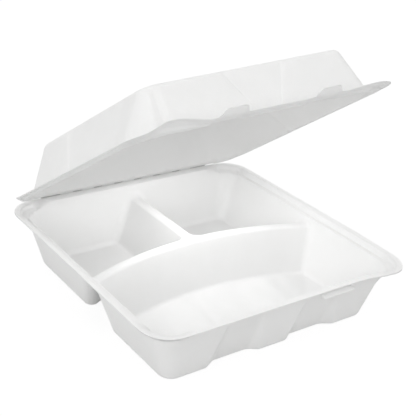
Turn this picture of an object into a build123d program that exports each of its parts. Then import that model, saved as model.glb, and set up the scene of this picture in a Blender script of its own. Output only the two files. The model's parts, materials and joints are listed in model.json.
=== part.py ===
# Hinged takeout container of moulded fibre, with three compartments and its lid ajar.
# Lengths are in millimetres. The origin is under the middle of the base, on the table.
# X runs along the hinge, -Y is the front with the two tab locks, and +Z is up.
from build123d import *
from math import atan2, cos, degrees, hypot, radians, sin
import os

# The moulded sheet, and the gaps that let the lid move
sheet = 0.9
flange_gap = 0.3
hinge_slit = 1.0
nest_gap = 0.7

# The rim of the base: a flat lip, a step down and a ledge round the opening
rim_width = 230.0
rim_depth = 230.4
rim_corner = 22.0
base_height = 49.0
lip_width = 4.5
step_height = 4.5
step_run = 2.0
ledge_width = 3.5

# The walls of the base, drafted from the ledge down to the floor
side_inset = 23.0
front_inset = 20.5
back_inset = 18.0
floor_corner = 10.0
ledge_corner = 14.0
floor_radius = 5.0
front_floor_radius = 4.0

# The ridges between the compartments: a bowed one across, a straight one behind it
crest_drop = 6.0
crest_radius = 3.2
bow_sag = 28.1
bow_front_floor = -6.0
bow_front_crest = 9.0
bow_back_crest = 17.0
bow_back_floor = 31.0
divider_floor_width = 42.0
divider_crest_width = 8.0
junction_radius = 8.0
ridge_end_radius = 6.0

# The two flutes of the front wall, deepest at the floor and gone below the ledge
flute_depth = 5.4
flute_top = 42.0
flute_inner = 20.0
flute_margin = 42.0
flute_inner_run = 8.0
flute_outer_run = 10.0
flute_radius = 5.0
lobe_radius = 4.0

# The flat land beside the hinge, where the rim has no step
land_half = 84.0
land_run = 5.0
land_draft = 1.4

# The perforated hinge: narrow bridges left between slits
bridge_count = 7
bridge_pitch = 20.0
bridge_width = 11.4
bridge_gap = 0.3

# The lid
open_angle = 33.0
lid_overhang = 3.2
lid_hinge_corner = 32.0
lid_height = 37.5
lid_wall_inset = 9.5
lid_side_inset = 28.0
lid_front_inset = 19.0
lid_back_inset = 23.0
lid_corner = 26.0
lid_top_corner = 12.0
dome_hinge_corner = 34.0
dome_hinge_top_corner = 24.0
lid_top_radius = 5.5
bead_height = 1.4
bead_run = 1.0
bead_end_run = 3.0

# The sunk panels in the lid's walls
front_panel_left = -11.0
front_panel_left_top = -26.0
front_panel_right = 8.0
front_panel_right_top = 27.0
front_panel_depth = 1.8
front_panel_run = 5.0
side_panel_start = 108.0
side_panel_start_top = 90.0
side_panel_end = 195.0
side_panel_depth = 1.6
side_panel_back_run = 4.0
side_panel_front_run = 16.0

# The two locks: a tapered tab on the lid, a slot in the step of the base
lock_spacing = 82.0
tab_base_width = 24.0
tab_tip_width = 17.5
tab_length = 7.0
tab_rise = 37.0
tab_corner = 2.0
tab_land_half = 11.0
slot_width = 28.0

# Values that follow from the sizes above
ledge_z = base_height - step_height
crest_height = ledge_z - crest_drop
wall_inset = lip_width + step_run + ledge_width
hinge_y = (rim_depth + hinge_slit) / 2
hinge_z = base_height + flange_gap / 2
half_width = rim_width / 2
half_depth = rim_depth / 2
flute_outer = half_width - side_inset - flute_margin
bow_radius = half_width**2 / (2 * bow_sag)
margin = 20.0


def between(low, high, z, z_low, z_high):
    """Value at height z on the straight line from low to high."""
    return low + (high - low) * (z - z_low) / (z_high - z_low)


def rounded_outline(plane, side, front, back, corner):
    """Rounded rectangle inside the rim's outline, at the given insets from its sides."""
    with BuildSketch(plane) as outline:
        with Locations((0, (front - back) / 2)):
            RectangleRounded(rim_width - 2 * side, rim_depth - front - back, corner)
    return outline.sketch


def tapered_block(lower, upper):
    """Solid between two outlines, with straight drafted walls."""
    with BuildPart() as block:
        add(lower)
        add(upper)
        loft(ruled=True)
    return block.part


def tall_edges(part, least):
    """Edges that climb at least the given height."""
    return part.edges().filter_by(lambda edge: edge.bounding_box().size.Z > least)


# Base: the tub with its three pockets


def tub_outline(z, wall):
    """Outline of the tub's inside at height z, moved outwards by the wall."""
    side = between(side_inset, wall_inset, z, sheet, ledge_z) - wall
    front = between(front_inset, wall_inset, z, sheet, ledge_z) - wall
    back = between(back_inset, wall_inset, z, sheet, ledge_z) - wall
    corner = between(floor_corner, ledge_corner, z, sheet, ledge_z) + wall
    return rounded_outline(Plane.XY.offset(z), side, front, back, corner)


def flute_cut(wall):
    """Leaning prism that sinks one flute into the front wall."""
    foot = between(front_inset, wall_inset, 0, sheet, ledge_z) - wall - half_depth
    head = between(front_inset, wall_inset, flute_top, sheet, ledge_z) - wall - half_depth
    lean = (head - foot - flute_depth) / flute_top
    below = -floor_radius
    back_y = foot + flute_depth + lean * below
    flare = 1 + margin / flute_depth
    with BuildPart() as cut:
        with BuildSketch(Plane.XY.offset(below)) as profile:
            with BuildLine():
                Polyline(
                    (flute_inner - flute_inner_run * flare, back_y - flute_depth - margin),
                    (flute_inner, back_y),
                    (flute_outer, back_y),
                    (flute_outer + flute_outer_run * flare, back_y - flute_depth - margin),
                    close=True,
                )
            make_face()
            fillet(profile.vertices().group_by(Axis.Y)[-1], flute_radius)
        extrude(amount=hypot(1, lean) * (ledge_z + 2 * floor_radius), dir=(0, lean, 1))
    return cut.part


def bowed_ridge(low, high, wall):
    """The ridge across the tub, bowed towards the front at its middle."""
    reach = half_width + margin
    sag = reach**2 / (2 * bow_radius)
    with BuildPart() as ridge:
        for z in (low, high):
            front = between(bow_front_floor, bow_front_crest, z, sheet, crest_height) + wall
            back = between(bow_back_floor, bow_back_crest, z, sheet, crest_height) - wall
            with BuildSketch(Plane.XY.offset(z)):
                with BuildLine():
                    near = ThreePointArc((-reach, front - sag), (0, front), (reach, front - sag))
                    far = ThreePointArc((reach, back - sag), (0, back), (-reach, back - sag))
                    Line(near @ 1, far @ 0)
                    Line(far @ 1, near @ 0)
                make_face()
        loft(ruled=True)
    return ridge.part


def straight_divider(low, high, wall):
    """The divider from the bowed ridge to the back."""
    with BuildPart() as divider:
        for z in (low, high):
            width = between(divider_floor_width, divider_crest_width, z, sheet, crest_height)
            with BuildSketch(Plane.XY.offset(z)):
                with Locations((0, (bow_front_crest + bow_back_crest) / 2)):
                    Rectangle(width - 2 * wall, rim_depth, align=(Align.CENTER, Align.MIN))
        loft(ruled=True)
    return divider.part


def ridge_block(wall):
    """Both ridges in one block, with soft crests, thinner all round by the wall."""
    low = sheet - floor_radius
    high = crest_height - wall
    with BuildPart() as block:
        add(bowed_ridge(low, high, wall))
        add(straight_divider(low, high, wall))
        joints = tall_edges(block, high / 2)
        joints = joints.filter_by(lambda edge: abs(edge.center().X) < divider_floor_width)
        fillet(joints.filter_by(lambda edge: edge.center().Y < half_depth), junction_radius + wall)
        crest = block.faces().sort_by(Axis.Z)[-1].edges()
        crest = crest.filter_by(lambda edge: abs(edge.center().X) < half_width)
        fillet(crest.filter_by(lambda edge: edge.center().Y < rim_depth), crest_radius - wall)
    return block.part


def behind_bow(edge):
    """Whether an edge lies behind the bowed ridge."""
    at = edge.center()
    return at.Y > bow_front_crest - at.X**2 / (2 * bow_radius)


def at_lobe(edge):
    """Whether an edge is where a flute's flank meets the front wall."""
    at = edge.center()
    beside_middle = abs(at.X) < flute_inner - flute_inner_run / 4
    beside_corner = 0 < abs(at.X) - flute_outer - flute_outer_run / 4 < flute_outer_run
    return at.Y < 0 and (beside_middle or beside_corner)


def at_ridge_end(edge):
    """Whether an edge is where a ridge runs into the tub's wall."""
    at = edge.center()
    side_end = abs(at.X) > half_width - side_inset and abs(at.Y) < half_depth / 2
    back_end = abs(at.X) < divider_floor_width and at.Y > half_depth - back_inset
    return (side_end or back_end) and floor_radius < at.Z < crest_height + sheet


def pocketed_tub(low, high, wall):
    """The tub from one height to another: its hollow with no wall, its skin with one."""
    with BuildPart() as tub:
        add(tapered_block(tub_outline(low, wall), tub_outline(high, wall)))
        cut = flute_cut(wall)
        add(cut, mode=Mode.SUBTRACT)
        add(mirror(cut, about=Plane.YZ, mode=Mode.PRIVATE), mode=Mode.SUBTRACT)
        fillet(tall_edges(tub, flute_top / 2).filter_by(at_lobe), lobe_radius)
        add(ridge_block(wall), mode=Mode.SUBTRACT)
        fillet(tub.edges().filter_by(at_ridge_end), ridge_end_radius + wall)
        fillet(tub.edges().group_by(Axis.Z)[0].filter_by(behind_bow), floor_radius + wall)
        front_floor = tub.edges().group_by(Axis.Z)[0].filter_by(lambda edge: not behind_bow(edge))
        fillet(front_floor, front_floor_radius)
    return tub.part


# Base: the stepped rim and the land beside the hinge


def land_block(low, high, wall):
    """The land beside the hinge, from the ledge up, smaller by the wall."""
    foot = (low, land_half + land_run, wall_inset)
    head = (high, land_half, wall_inset - land_draft)
    with BuildPart() as land:
        for z, reach, inset in (foot, head):
            with BuildSketch(Plane.XY.offset(z)):
                with Locations((0, half_depth - inset + wall)):
                    Rectangle(2 * (reach - wall), margin, align=(Align.CENTER, Align.MIN))
        loft(ruled=True)
    return land.part


def rim_step(low, high, wall):
    """What the riser of the rim encloses above the ledge, up to the land's given height."""
    foot = lip_width + step_run - wall
    head = lip_width - wall
    lower = rounded_outline(Plane.XY.offset(low), foot, foot, foot, rim_corner - foot)
    upper = rounded_outline(Plane.XY.offset(base_height), head, head, head, rim_corner - head)
    with BuildPart() as step:
        add(tapered_block(lower, upper))
        add(land_block(low, high, wall), mode=Mode.SUBTRACT)
    return step.part


bridge_reach = hinge_y - bridge_gap / 2

with BuildPart() as base:
    add(pocketed_tub(0, ledge_z - sheet, sheet))
    add(rim_step(ledge_z - sheet, base_height - sheet, sheet))
    add(rounded_outline(Plane.XY.offset(base_height - sheet), 0, 0, 0, rim_corner))
    extrude(amount=sheet)
    with BuildSketch(Plane.XY.offset(base_height - sheet)):
        with Locations((0, bridge_reach - margin / 2)):
            with GridLocations(bridge_pitch, 0, bridge_count, 1):
                Rectangle(bridge_width, margin)
    extrude(amount=sheet)
    add(pocketed_tub(sheet, ledge_z, 0), mode=Mode.SUBTRACT)
    add(rim_step(ledge_z, base_height, 0), mode=Mode.SUBTRACT)
    with BuildSketch(Plane.XY.offset(ledge_z)):
        with Locations((0, -half_depth + (lip_width + step_run) / 2)):
            with GridLocations(lock_spacing, 0, 2, 1):
                Rectangle(slot_width, lip_width + step_run)
    extrude(amount=step_height - sheet, mode=Mode.SUBTRACT)


# Lid: heights are those of the closed lid, on planes that are swung open about the hinge

lid_low = base_height + flange_gap
lid_crown = hinge_z + lid_height
bead_low = lid_low - bead_height
swing = radians(open_angle)
lid_up = Axis(origin=(0, 0, 0), direction=(0, sin(swing), cos(swing)))


def lid_plane(z):
    """The plane at height z of the closed lid, in its open place."""
    rise = z - hinge_z
    y = hinge_y * (1 - cos(swing)) + rise * sin(swing)
    height = hinge_z + hinge_y * sin(swing) + rise * cos(swing)
    return Plane(origin=(0, y, height), x_dir=(1, 0, 0), z_dir=(0, sin(swing), cos(swing)))


def dome_inset(crown_inset, z):
    """How far a wall of the dome stands in from the rim's outline at height z."""
    return between(lid_wall_inset, crown_inset, z, lid_low, lid_crown)


def lid_outline(z, side, front, back, corner, hinge_corner):
    """Rounded rectangle across the lid at height z, with larger corners beside the hinge."""
    with BuildSketch(lid_plane(z)) as outline:
        with Locations((0, (front - back) / 2)):
            Rectangle(rim_width - 2 * side, rim_depth - front - back)
        fillet(outline.vertices().group_by(Axis.Y)[0], corner)
        fillet(outline.vertices().group_by(Axis.Y)[-1], hinge_corner)
    return outline.sketch


def dome_outline(z, wall):
    """Outline of the dome's outside at height z, moved inwards by the wall."""
    side = dome_inset(lid_side_inset, z) + wall
    front = dome_inset(lid_front_inset, z) + wall
    back = dome_inset(lid_back_inset, z) + wall
    corner = between(lid_corner, lid_top_corner, z, lid_low, lid_crown) - wall
    hinge_corner = between(dome_hinge_corner, dome_hinge_top_corner, z, lid_low, lid_crown) - wall
    return lid_outline(z, side, front, back, corner, hinge_corner)


def front_panel_cut(wall):
    """Wedge that sinks the middle of the dome's front, most at the crown and not at the rim."""
    flare = front_panel_run * margin / front_panel_depth
    with BuildPart() as cut:
        for z in (bead_low, lid_crown):
            left = between(front_panel_left, front_panel_left_top, z, lid_low, lid_crown)
            right = between(front_panel_right, front_panel_right_top, z, lid_low, lid_crown)
            depth = between(0, front_panel_depth, z, lid_low, lid_crown)
            sunk = dome_inset(lid_front_inset, z) + wall + depth - half_depth
            with BuildSketch(lid_plane(z)):
                with BuildLine():
                    Polyline(
                        (left - flare, sunk - margin),
                        (left, sunk),
                        (right, sunk),
                        (right + flare, sunk - margin),
                        close=True,
                    )
                make_face()
        loft(ruled=True)
    return cut.part


def side_panel_cut(wall):
    """Block that sinks the front part of the dome's left side, evenly over its height."""
    back_flare = side_panel_back_run * margin / side_panel_depth
    front_flare = side_panel_front_run * margin / side_panel_depth
    front_end = hinge_y - side_panel_end
    with BuildPart() as cut:
        for z in (bead_low, lid_crown):
            back_end = hinge_y - between(side_panel_start, side_panel_start_top, z, lid_low, lid_crown)
            sunk = dome_inset(lid_side_inset, z) + wall + side_panel_depth - half_width
            with BuildSketch(lid_plane(z)):
                with BuildLine():
                    Polyline(
                        (sunk - margin, back_end + back_flare),
                        (sunk, back_end),
                        (sunk, front_end + side_panel_front_run),
                        (sunk - margin, front_end + side_panel_front_run - front_flare),
                        close=True,
                    )
                make_face()
        loft(ruled=True)
    return cut.part


def lid_dome(low, high, wall):
    """The dome between two heights: its outside with no wall, its hollow with one."""
    with BuildPart() as dome:
        add(tapered_block(dome_outline(low, wall), dome_outline(high, wall)))
        fillet(dome.faces().sort_by(lid_up)[-1].edges(), lid_top_radius - wall)
        add(front_panel_cut(wall), mode=Mode.SUBTRACT)
        side_cut = side_panel_cut(wall)
        add(side_cut, mode=Mode.SUBTRACT)
        add(mirror(side_cut, about=Plane.YZ, mode=Mode.PRIVATE), mode=Mode.SUBTRACT)
    return dome.part


def bead_gaps(low, high, wall):
    """Where the bead is left out, along the hinge and behind the tabs, longer by the wall."""
    with BuildPart() as gaps:
        for z, reach in ((low, land_half + land_run), (high, land_half)):
            with BuildSketch(lid_plane(z)):
                with Locations((0, half_depth - wall_inset - margin / 4)):
                    Rectangle(2 * (reach + nest_gap + wall), margin, align=(Align.CENTER, Align.MIN))
        loft(ruled=True)
        for side in (-1, 1):
            for z, reach in ((low, tab_land_half + bead_end_run), (high, tab_land_half)):
                with BuildSketch(lid_plane(z)):
                    with Locations((side * lock_spacing / 2, -half_depth + wall_inset - margin / 4)):
                        Rectangle(2 * (reach + wall), margin)
            loft(ruled=True)
    return gaps.part


def bead_block(low, high, wall):
    """The bead that nests in the base's rim: its outside with no wall, its groove with one."""
    foot = lip_width + nest_gap + bead_run + wall
    head = lip_width + nest_gap + wall
    lower = rounded_outline(lid_plane(low), foot, foot, foot, rim_corner - foot)
    upper = rounded_outline(lid_plane(high), head, head, head, rim_corner - head)
    with BuildPart() as bead:
        add(tapered_block(lower, upper))
        add(bead_gaps(low, high, wall), mode=Mode.SUBTRACT)
    return bead.part


def bead_groove():
    """The groove between the bead's outer wall and the dome."""
    with BuildPart() as groove:
        add(bead_block(bead_low + sheet, lid_low + sheet, sheet))
        add(lid_dome(bead_low, lid_crown, 0), mode=Mode.SUBTRACT)
    return groove.part


tab_root = lid_plane(lid_low).from_local_coords((0, -half_depth - lid_overhang, 0))
tab_swing = radians(open_angle + tab_rise)
tab_plane = Plane(origin=tab_root, x_dir=(1, 0, 0), z_dir=(0, sin(tab_swing), cos(tab_swing)))
tab_slope = degrees(atan2(tab_length, (tab_base_width - tab_tip_width) / 2))

with BuildPart() as lid:
    add(lid_outline(lid_low, 0, -lid_overhang, 0, rim_corner, lid_hinge_corner))
    extrude(amount=sheet)
    with BuildSketch(lid_plane(lid_low)):
        with Locations((0, bridge_reach - margin / 2)):
            with GridLocations(bridge_pitch, 0, bridge_count, 1):
                Rectangle(bridge_width, margin)
    extrude(amount=sheet)
    add(bead_block(bead_low, lid_low, 0))
    add(lid_dome(lid_low, lid_crown, 0))
    add(bead_groove(), mode=Mode.SUBTRACT)
    add(lid_dome(bead_low, lid_crown - sheet, sheet), mode=Mode.SUBTRACT)
    with BuildSketch(tab_plane) as tabs:
        with GridLocations(lock_spacing, 0, 2, 1):
            Trapezoid(
                tab_base_width,
                tab_length,
                tab_slope,
                rotation=180,
                align=(Align.CENTER, Align.MIN),
            )
        fillet(tabs.vertices().group_by(Axis.Y)[0], tab_corner)
    extrude(amount=sheet)

base.part.label = "base"
lid.part.label = "lid"

os.makedirs("parts", exist_ok=True)
export_step(base.part, "parts/base.step")
export_step(lid.part, "parts/lid.step")
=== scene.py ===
import json
import math

import bmesh
import bpy
from mathutils import Matrix, Vector


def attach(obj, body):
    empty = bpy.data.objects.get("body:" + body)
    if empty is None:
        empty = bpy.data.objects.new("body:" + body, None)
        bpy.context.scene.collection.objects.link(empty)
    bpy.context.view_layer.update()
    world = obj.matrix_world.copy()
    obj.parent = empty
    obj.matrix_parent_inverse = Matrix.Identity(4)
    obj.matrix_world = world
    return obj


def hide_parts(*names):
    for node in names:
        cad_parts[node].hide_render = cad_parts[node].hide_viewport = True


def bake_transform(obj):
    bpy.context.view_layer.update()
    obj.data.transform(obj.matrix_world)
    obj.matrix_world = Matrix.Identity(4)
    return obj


# A hinged takeout container of moulded plant fibre, with its lid ajar.
# Both shells are copies of the frame's nodes. Here they get the look of pulp and the
# slight spring of a sheet that has been opened, and with them the folded crease.

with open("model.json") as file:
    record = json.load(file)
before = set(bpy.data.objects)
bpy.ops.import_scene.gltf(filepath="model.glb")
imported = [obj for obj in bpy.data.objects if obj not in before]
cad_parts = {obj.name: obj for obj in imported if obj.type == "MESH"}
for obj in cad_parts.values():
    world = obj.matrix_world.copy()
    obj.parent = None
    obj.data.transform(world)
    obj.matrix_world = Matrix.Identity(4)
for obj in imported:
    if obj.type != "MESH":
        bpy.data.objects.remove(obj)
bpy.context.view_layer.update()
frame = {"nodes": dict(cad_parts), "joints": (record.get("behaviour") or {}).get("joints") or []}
nodes = frame["nodes"]
hingeJoint = frame["joints"][0]
hingeAt = Vector(hingeJoint["pos_m"])


# Shader expressions: a socket that can be added, multiplied and mixed

class Wire:
    def __init__(self, board, socket):
        self.board = board
        self.socket = socket

    def sum(self, operation, first, second):
        return self.board.add("ShaderNodeMath", {"operation": operation}, {0: first, 1: second})

    def __add__(self, other):
        return self.sum("ADD", self, other)

    def __mul__(self, other):
        return self.sum("MULTIPLY", self, other)


class Board:
    def __init__(self, name):
        self.material = bpy.data.materials.new(name)
        self.material.use_nodes = True
        self.tree = self.material.node_tree
        self.shader = self.tree.nodes["Principled BSDF"]
        self.surface = self.tree.nodes["Material Output"].inputs["Surface"]

    def add(self, kind, settings=None, sockets=None, out=0):
        node = self.tree.nodes.new(kind)
        for name, value in (settings or {}).items():
            if name == "stops":
                for i, (place, colour) in enumerate(value):
                    ends = node.color_ramp.elements
                    stop = ends[i] if i < len(ends) else ends.new(place)
                    stop.position = place
                    stop.color = colour
            else:
                setattr(node, name, value)
        for name, value in (sockets or {}).items():
            self.feed(node.inputs[name], value)
        return Wire(self, node.outputs[out])

    def blendShades(self, share, first, second):
        return self.add(
            "ShaderNodeMix", {"data_type": "RGBA"}, {"Factor": share, "A": first, "B": second}, out=2
        )

    def feed(self, socket, value):
        if isinstance(value, Wire):
            self.tree.links.new(value.socket, socket)
        else:
            socket.default_value = value


# Moulded fibre

fibre = {
    "shade": (0.95, 0.95, 0.948, 1.0),
    "deepShade": (0.92, 0.92, 0.916, 1.0),
    "fleckShade": (0.86, 0.855, 0.84, 1.0),
    "cloudSize": 0.018,         # soft mottling of the pulp
    "cloudWeight": 0.7,
    "cloudDetail": 4.0,
    "cloudRoughness": 0.6,
    "grainSize": 0.0011,        # short fibres that lie in the sheet
    "grainWeight": 0.3,
    "grainDetail": 3.0,
    "grainBend": 1.2,
    "screenSize": 0.00062,      # print of the forming screen
    "screenDetail": 1.0,
    "mottleFrom": 0.34,
    "mottleTo": 0.68,
    "fleckFrom": 0.70,
    "fleckTo": 0.78,
    "fleckShare": 0.25,
    "roughness": 0.76,
    "roughnessSpread": 0.12,
    "specular": 0.2,
    "sheen": 0.06,
    "sheenRoughness": 0.6,
    "grainHeight": 0.6,
    "screenHeight": 0.25,
    "cloudHeight": 0.9,
    "reliefStrength": 0.55,
    "reliefDepth": 0.00036,
    "through": 0.29,            # share of the light that goes into the thin sheet
    "throughShade": (0.98, 0.98, 0.975, 1.0),
    # painted shade: how far the slit web's colour is darkened toward black, standing for the shadow in
    # the cuts
    "slitPaintedShade": 0.35,
}

black = (0.0, 0.0, 0.0, 1.0)
white = (1.0, 1.0, 1.0, 1.0)


def fibreMaterial(name, darkness=0.0):
    board = Board(name)
    place = board.add("ShaderNodeTexCoord", out="Object")
    cloud = board.add(
        "ShaderNodeTexNoise",
        {"noise_dimensions": "3D"},
        {
            "Vector": place,
            "Scale": 1 / fibre["cloudSize"],
            "Detail": fibre["cloudDetail"],
            "Roughness": fibre["cloudRoughness"],
        },
    )
    grain = board.add(
        "ShaderNodeTexNoise",
        {"noise_dimensions": "3D"},
        {
            "Vector": place,
            "Scale": 1 / fibre["grainSize"],
            "Detail": fibre["grainDetail"],
            "Distortion": fibre["grainBend"],
        },
    )
    screen = board.add(
        "ShaderNodeTexNoise",
        {"noise_dimensions": "3D"},
        {"Vector": place, "Scale": 1 / fibre["screenSize"], "Detail": fibre["screenDetail"]},
    )
    mottle = board.add(
        "ShaderNodeValToRGB",
        {"stops": [(fibre["mottleFrom"], black), (fibre["mottleTo"], white)]},
        {"Fac": cloud * fibre["cloudWeight"] + grain * fibre["grainWeight"]},
    )
    fleck = board.add(
        "ShaderNodeValToRGB",
        {"stops": [(fibre["fleckFrom"], black), (fibre["fleckTo"], white)]},
        {"Fac": grain},
    )
    tone = board.blendShades(mottle, fibre["deepShade"], fibre["shade"])
    tone = board.blendShades(fleck * fibre["fleckShare"], tone, fibre["fleckShade"])
    # painted shade: darkness blends the tone toward black and lets less light through the sheet
    if darkness:
        tone = board.blendShades(darkness, tone, black)
    fine = grain * fibre["grainHeight"] + screen * fibre["screenHeight"]
    height = fine + cloud * fibre["cloudHeight"]
    relief = board.add(
        "ShaderNodeBump",
        None,
        {"Height": height, "Strength": fibre["reliefStrength"], "Distance": fibre["reliefDepth"]},
    )
    spread = fibre["roughnessSpread"]
    board.feed(board.shader.inputs["Base Color"], tone)
    board.feed(board.shader.inputs["Roughness"], cloud * spread + fibre["roughness"])
    board.feed(board.shader.inputs["Normal"], relief)
    board.shader.inputs["Specular IOR Level"].default_value = fibre["specular"]
    board.shader.inputs["Sheen Weight"].default_value = fibre["sheen"]
    board.shader.inputs["Sheen Roughness"].default_value = fibre["sheenRoughness"]
    glow = board.add(
        "ShaderNodeBsdfTranslucent", None, {"Color": fibre["throughShade"], "Normal": relief}
    )
    skin = board.add(
        "ShaderNodeMixShader",
        None,
        {0: fibre["through"] * (1 - darkness), 1: Wire(board, board.shader.outputs[0]), 2: glow},
    )
    board.feed(board.surface, skin)
    return board.material


def dress(piece, material):
    piece.data.materials.clear()
    piece.data.materials.append(material)


baseFibre = fibreMaterial("baseFibre")
lidFibre = fibreMaterial("lidFibre")
# the slit web's fibre, darkened with painted shade for the shadow in the cuts
slitPaintedShadeFibre = fibreMaterial("slitPaintedShadeFibre", fibre["slitPaintedShade"])
print("fibre ready")


# Shells: copies of the frame's nodes, welded and divided finely enough to spring

shell = {
    "weld": 2e-6,
    "sliver": 1e-6,
    "splitRounds": 6,
    "mostSides": 4,
    "sharpAngle": 40,           # degrees
}


def ease(value, low, high):
    share = min(1.0, max(0.0, (value - low) / (high - low)))
    return share * share * (3 - 2 * share)


def newPiece(name):
    piece = bpy.data.objects.new(name, bpy.data.meshes.new(name))
    bpy.context.scene.collection.objects.link(piece)
    return piece


def copyOfNode(node):
    mesh = bmesh.new()
    mesh.from_mesh(nodes[node].data)
    bmesh.ops.remove_doubles(mesh, verts=mesh.verts, dist=shell["weld"])
    bmesh.ops.dissolve_degenerate(mesh, edges=mesh.edges, dist=shell["sliver"])
    return mesh


def splitLong(mesh, limit, middle=None, around=0.0):
    for turn in range(shell["splitRounds"]):
        long = [edge for edge in mesh.edges if edge.calc_length() > limit]
        if middle:
            long = [edge for edge in long if (edge.verts[0].co - middle).length < around]
        if not long:
            break
        bmesh.ops.subdivide_edges(mesh, edges=long, cuts=1, use_grid_fill=False)
        wide = [face for face in mesh.faces if len(face.verts) > shell["mostSides"]]
        bmesh.ops.triangulate(mesh, faces=wide)


def finishMesh(piece, mesh):
    for face in mesh.faces:
        face.smooth = True
    mesh.to_mesh(piece.data)
    mesh.free()
    piece.data.set_sharp_from_angle(angle=math.radians(shell["sharpAngle"]))
    flat = piece.modifiers.new("flatFaces", "WEIGHTED_NORMAL")
    flat.mode = "FACE_AREA"
    flat.keep_sharp = True


# Base: the rim's free front corner has sagged and spread a little

baseSag = {
    "spread": (0.0026, -0.0020, -0.0032),
    "sideFrom": 0.055,
    "sideTo": 0.115,
    "frontFrom": 0.050,
    "frontTo": 0.115,
    "heightFrom": 0.028,
    "heightTo": 0.046,
    "longEdge": 0.012,
}


def makeBase():
    piece = newPiece("baseShell")
    mesh = copyOfNode("base")
    splitLong(mesh, baseSag["longEdge"])
    spread = Vector(baseSag["spread"])
    for vert in mesh.verts:
        side = ease(vert.co.x, baseSag["sideFrom"], baseSag["sideTo"])
        front = ease(-vert.co.y, baseSag["frontFrom"], baseSag["frontTo"])
        height = ease(vert.co.z, baseSag["heightFrom"], baseSag["heightTo"])
        vert.co += spread * side * front * height
    finishMesh(piece, mesh)
    dress(piece, baseFibre)
    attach(piece, "base")
    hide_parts("base")
    return piece


baseShell = makeBase()
print("base ready", len(baseShell.data.polygons))


# Slot flap: the punch has pushed the right slot's lower edge out, under the lip

slotFlap = {
    "size": (0.030, 0.0064, 0.0007),
    "middle": (0.0420, -0.1117, 0.0430),
    "droop": 14,                # degrees
    "edge": 0.0003,
    "edgeSteps": 2,
}


def makeSlotFlap():
    piece = newPiece("slotFlap")
    mesh = bmesh.new()
    bmesh.ops.create_cube(mesh, size=1.0)
    bmesh.ops.scale(mesh, verts=mesh.verts, vec=slotFlap["size"])
    bmesh.ops.bevel(
        mesh,
        geom=list(mesh.edges),
        offset=slotFlap["edge"],
        segments=slotFlap["edgeSteps"],
        affect="EDGES",
    )
    droop = Matrix.Rotation(math.radians(slotFlap["droop"]), 3, "X")
    bmesh.ops.rotate(mesh, verts=mesh.verts, matrix=droop)
    bmesh.ops.translate(mesh, verts=mesh.verts, vec=slotFlap["middle"])
    bmesh.ops.recalc_face_normals(mesh, faces=mesh.faces)
    finishMesh(piece, mesh)
    dress(piece, baseFibre)
    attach(piece, "base")
    return piece


flap = makeSlotFlap()
print("flap ready")


# Lid: the frame's shell, sprung into the slight twist of a sheet that has been opened

lidSpring = {
    "depth": 0.2309,            # hinge to front edge
    "halfWidth": 0.115,
    "domeHeight": 0.0375,
    "wallInset": 0.0095,
    "twist": 0.0085,            # the free right corner stands this much proud
    "crownSag": 0.0044,         # the crown is this much lower at the left corner
    "edgeFrom": -0.001,         # the curls start here, measured outward from the dome's foot
    "flangeTop": 0.0025,
    "leftCurl": 0.0045,         # the flange curls up at its front corners
    "rightCurl": 0.0012,
    "frontCurlFrom": 0.055,
    "frontCurlTo": 0.086,
    "frontCurlOut": 0.089,
    "frontCurlEnd": 0.108,
    "frontCurlDepth": 0.030,
    "hingeCurl": 0.0035,        # and a little beside the ends of the hinge
    "hingeCurlFrom": 0.086,
    "hingeCurlTo": 0.112,
    "hingeCurlDepth": 0.034,
    "foldX": -0.077,            # a pinched fold in the dome's front left corner
    "foldReach": 0.1975,
    "foldAt": 72,               # degrees round the corner from the side wall
    "foldSpread": 17,
    "foldDepth": 0.0022,
    "foldCore": 0.006,          # nothing is pinched this near the corner's middle
    "foldLow": (0.001, 0.007),
    "foldHigh": (0.030, 0.0365),
    "foldEdge": 0.0022,
    "foldAround": 0.045,
    "longEdge": 0.008,
}


def restAxes():
    angle = math.radians(-hingeJoint["range_deg"][0])
    forward = Vector((0, -math.cos(angle), math.sin(angle)))
    up = Vector((0, math.sin(angle), math.cos(angle)))
    return forward, up


def springLift(x, reach, height):
    half = lidSpring["halfWidth"]
    inset = lidSpring["wallInset"]
    along = max(0.0, reach / lidSpring["depth"])
    across = (x + half) / (2 * half)
    lift = lidSpring["twist"] * along * across
    lift -= lidSpring["crownSag"] * along * (1 - across) * height / lidSpring["domeHeight"]
    outside = max(abs(x) - half + inset, reach - lidSpring["depth"] + inset)
    onFlange = height < lidSpring["flangeTop"]
    edge = ease(outside, lidSpring["edgeFrom"], inset) if onFlange else 0.0
    side = ease(abs(x), lidSpring["frontCurlFrom"], lidSpring["frontCurlTo"])
    side *= 1 - ease(abs(x), lidSpring["frontCurlOut"], lidSpring["frontCurlEnd"])
    front = ease(reach, lidSpring["depth"] - lidSpring["frontCurlDepth"], lidSpring["depth"])
    curl = lidSpring["leftCurl"] if x < 0 else lidSpring["rightCurl"]
    lift += curl * side * front * edge
    side = ease(abs(x), lidSpring["hingeCurlFrom"], lidSpring["hingeCurlTo"])
    rear = 1 - ease(reach, 0.0, lidSpring["hingeCurlDepth"])
    return lift + lidSpring["hingeCurl"] * side * rear * edge


def cornerFold(x, reach, height):
    arm = Vector((x - lidSpring["foldX"], reach - lidSpring["foldReach"]))
    if arm.length < lidSpring["foldCore"]:
        return Vector((0, 0))
    angle = math.degrees(math.atan2(arm.y, -arm.x))
    share = 1 - ease(abs(angle - lidSpring["foldAt"]), 0, lidSpring["foldSpread"])
    low = ease(height, *lidSpring["foldLow"])
    high = 1 - ease(height, *lidSpring["foldHigh"])
    return arm.normalized() * -lidSpring["foldDepth"] * share * low * high


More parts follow.
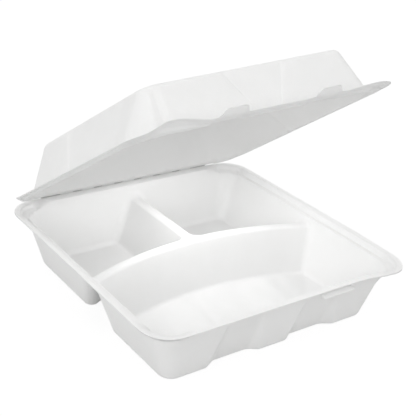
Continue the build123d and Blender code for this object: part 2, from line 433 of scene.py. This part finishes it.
def makeLid():
    piece = newPiece("lidShell")
    mesh = copyOfNode("lid")
    splitLong(mesh, lidSpring["longEdge"])
    forward, up = restAxes()
    corner = hingeAt + forward * lidSpring["foldReach"] + up * lidSpring["domeHeight"] / 2
    corner.x = lidSpring["foldX"]
    splitLong(mesh, lidSpring["foldEdge"], corner, lidSpring["foldAround"])
    for vert in mesh.verts:
        arm = vert.co - hingeAt
        reach, height = arm.dot(forward), arm.dot(up)
        fold = cornerFold(vert.co.x, reach, height)
        lift = springLift(vert.co.x, reach, height)
        vert.co += up * lift + forward * fold.y
        vert.co.x += fold.x
    finishMesh(piece, mesh)
    dress(piece, lidFibre)
    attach(piece, "lid")
    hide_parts("lid")
    return piece


lidShell = makeLid()
print("lid ready", len(lidShell.data.polygons))


# Crease: seven folded bridges, and the thin web at the foot of each slit, its colour darkened as
# painted shade in the cuts

crease = {
    "bridges": 7,
    "pitch": 0.020,
    "bridgeWidth": 0.0114,
    "halfLength": 0.0835,
    "bridgeNear": 0.00005,      # how far the fold lies from the axis, inside and outside
    "bridgeFar": 0.00103,
    "webNear": 0.00066,
    "webFar": 0.00086,
    "bridgeGap": 0.00015,       # from the axis to the ends of the tongues
    "webGap": 0.00050,          # from the axis to the edges beside them
    "seat": 0.00004,            # how far an end runs into the sheet
    "rollRadius": 0.0011,       # the bulge of the bent fibres along each bridge
    "rollSides": 14,
    "steps": 10,
    "middle": 0.0008,           # the bend is shared this far to each side of the axis
}


def pushFace(mesh, face, move):
    grown = bmesh.ops.extrude_face_region(mesh, geom=[face])["geom"]
    verts = [item for item in grown if isinstance(item, bmesh.types.BMVert)]
    bmesh.ops.translate(mesh, verts=verts, vec=move)
    return next(item for item in grown if isinstance(item, bmesh.types.BMFace))


def foldStrip(mesh, left, right, near, far, gap):
    forward = restAxes()[0]
    reach = gap + crease["seat"]
    flat = bmesh.ops.create_grid(mesh, x_segments=1, y_segments=1, size=0.5)["verts"]
    bmesh.ops.scale(mesh, verts=flat, vec=(right - left, far - near, 1))
    bmesh.ops.rotate(mesh, verts=flat, matrix=Matrix.Rotation(math.radians(90), 3, "X"))
    middle = hingeAt + Vector(((left + right) / 2, -reach, -(near + far) / 2))
    bmesh.ops.translate(mesh, verts=flat, vec=middle)
    face = pushFace(mesh, flat[0].link_faces[0], (0, reach, 0))
    swept = bmesh.ops.spin(
        mesh,
        geom=[face, *face.edges, *face.verts],
        cent=hingeAt,
        axis=(1, 0, 0),
        angle=math.pi - math.radians(-hingeJoint["range_deg"][0]),
        steps=crease["steps"],
        use_duplicate=False,
    )["geom_last"]
    face = next(item for item in swept if isinstance(item, bmesh.types.BMFace))
    pushFace(mesh, face, forward * reach)


def foldRoll(mesh, left, right):
    rod = bmesh.ops.create_cone(
        mesh,
        cap_ends=True,
        segments=crease["rollSides"],
        radius1=crease["rollRadius"],
        radius2=crease["rollRadius"],
        depth=right - left,
    )["verts"]
    bmesh.ops.rotate(mesh, verts=rod, matrix=Matrix.Rotation(math.radians(90), 3, "Y"))
    bmesh.ops.translate(mesh, verts=rod, vec=hingeAt + Vector(((left + right) / 2, 0, 0)))


def makeFold(name, spans, near, far, gap, material, rolled=False):
    mesh = bmesh.new()
    for left, right in spans:
        foldStrip(mesh, left, right, near, far, gap)
        if rolled:
            foldRoll(mesh, left, right)
    bmesh.ops.recalc_face_normals(mesh, faces=mesh.faces)
    piece = newPiece(name)
    finishMesh(piece, mesh)
    dress(piece, material)
    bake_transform(piece)
    return piece


def makeCrease():
    half = crease["bridgeWidth"] / 2
    first = -crease["pitch"] * (crease["bridges"] - 1) / 2
    middles = [first + crease["pitch"] * turn for turn in range(crease["bridges"])]
    bridges = [(middle - half, middle + half) for middle in middles]
    edges = [-crease["halfLength"]]
    for left, right in bridges:
        edges += [left, right]
    edges.append(crease["halfLength"])
    slits = list(zip(edges[0::2], edges[1::2]))
    near, far, gap = crease["bridgeNear"], crease["bridgeFar"], crease["bridgeGap"]
    folds = [makeFold("hingeBridges", bridges, near, far, gap, baseFibre, rolled=True)]
    near, far, gap = crease["webNear"], crease["webFar"], crease["webGap"]
    # the webs under the slits wear the painted shade fibre
    folds.append(makeFold("slitWebPaintedShade", slits, near, far, gap, slitPaintedShadeFibre))
    return folds


basePieces = [baseShell, flap, *makeCrease()]
print("crease ready")


# Table, light and camera

room = {
    "floorReach": 6.0,
    "floorShade": (0.12, 0.12, 0.12, 1.0),
    "floorLift": 0.905,
    "bounceShade": (0.62, 0.62, 0.62, 1.0),
    "bounceRoughness": 0.9,
    "skyShade": (1.0, 1.0, 1.0, 1.0),
    "skyPower": 0.93,
}

lamps = [
    {"name": "leftSoftbox", "power": 6.0, "size": 0.8, "at": (-1.491, -0.861, 0.803), "aim": (0, 0, 0)},
    {"name": "topSoftbox", "power": 1.5, "size": 1.2, "at": (0.0, -0.9, 1.6), "aim": (0, 0, 0)},
]

# a small lamp in the open dome, which lights the base and the crease alone
pocketFill = {
    "name": "pocketFill",
    "power": 0.097,
    "size": 0.08,
    "at": (0, 0.012, 0.128),
    "aim": (0, 0.0, 0.03),
}


def makeFloor():
    mesh = bmesh.new()
    bmesh.ops.create_grid(mesh, x_segments=1, y_segments=1, size=room["floorReach"])
    piece = newPiece("tableTop")
    mesh.to_mesh(piece.data)
    mesh.free()
    board = Board("tableWhite")
    board.shader.inputs["Base Color"].default_value = room["bounceShade"]
    board.shader.inputs["Roughness"].default_value = room["bounceRoughness"]
    board.shader.inputs["Specular IOR Level"].default_value = 0.0
    sheet = board.add("ShaderNodeBsdfDiffuse", None, {"Color": room["floorShade"]})
    glow = board.add("ShaderNodeEmission", None, {"Color": white, "Strength": room["floorLift"]})
    both = board.add("ShaderNodeAddShader", None, {0: sheet, 1: glow})
    ray = board.tree.nodes.new("ShaderNodeLightPath")
    seen = Wire(board, ray.outputs["Is Camera Ray"])
    plain = Wire(board, board.shader.outputs[0])
    mixed = board.add("ShaderNodeMixShader", None, {0: seen, 1: plain, 2: both})
    board.feed(board.surface, mixed)
    dress(piece, board.material)


def makeSky():
    world = bpy.data.worlds.new("softRoom")
    bpy.context.scene.world = world
    world.use_nodes = True
    tree = world.node_tree
    sky = tree.nodes["Background"]
    sky.inputs["Color"].default_value = room["skyShade"]
    sky.inputs["Strength"].default_value = room["skyPower"]
    seen = tree.nodes.new("ShaderNodeBackground")
    seen.inputs["Color"].default_value = room["skyShade"]
    seen.inputs["Strength"].default_value = 1.0
    ray = tree.nodes.new("ShaderNodeLightPath")
    mix = tree.nodes.new("ShaderNodeMixShader")
    tree.links.new(ray.outputs["Is Camera Ray"], mix.inputs[0])
    tree.links.new(sky.outputs[0], mix.inputs[1])
    tree.links.new(seen.outputs[0], mix.inputs[2])
    tree.links.new(mix.outputs[0], tree.nodes["World Output"].inputs["Surface"])


def makeLamp(name, power, size, at, aim):
    lamp = bpy.data.lights.new(name, "AREA")
    lamp.shape = "SQUARE"
    lamp.size = size
    lamp.energy = power
    holder = bpy.data.objects.new(name, lamp)
    holder.location = at
    holder.rotation_euler = (Vector(aim) - Vector(at)).to_track_quat("-Z", "Y").to_euler()
    holder.visible_camera = False
    bpy.context.scene.collection.objects.link(holder)
    return holder


def makePocketFill():
    holder = makeLamp(**pocketFill)
    lit = bpy.data.collections.new("pocketPieces")
    for piece in basePieces:
        lit.objects.link(piece)
    holder.light_linking.receiver_collection = lit


photoView = {
    "at": (-0.37447, -0.49867, 0.36220),
    "turn": -0.64824,           # round the upright axis, 0 looks along +Y
    "tilt": 0.43585,            # looking down
    "roll": 0.0806,
    "focalPixels": 885.11,
    "widthPixels": 416,
    "sensor": 36,
    "clipNear": 0.01,
    "clipFar": 50,
}


def makeCamera():
    turn, tilt, roll = photoView["turn"], photoView["tilt"], photoView["roll"]
    level = math.cos(tilt)
    back = Vector((math.sin(turn) * level, -math.cos(turn) * level, math.sin(tilt)))
    side = Vector((math.cos(turn), math.sin(turn), 0))
    top = back.cross(side)
    right = side * math.cos(roll) + top * math.sin(roll)
    up = top * math.cos(roll) - side * math.sin(roll)
    lens = bpy.data.cameras.new("photoCamera")
    lens.sensor_width = photoView["sensor"]
    lens.sensor_fit = "HORIZONTAL"
    lens.lens = photoView["sensor"] * (photoView["focalPixels"] / photoView["widthPixels"])
    lens.clip_start = photoView["clipNear"]
    lens.clip_end = photoView["clipFar"]
    holder = bpy.data.objects.new("photoCamera", lens)
    facing = Matrix((right, up, back)).transposed().to_4x4()
    holder.matrix_world = Matrix.Translation(photoView["at"]) @ facing
    bpy.context.scene.collection.objects.link(holder)
    bpy.context.scene.camera = holder


makeFloor()
makeSky()
for lamp in lamps:
    makeLamp(**lamp)
makePocketFill()
makeCamera()
bpy.context.scene.view_settings.view_transform = "Standard"
print("room ready")
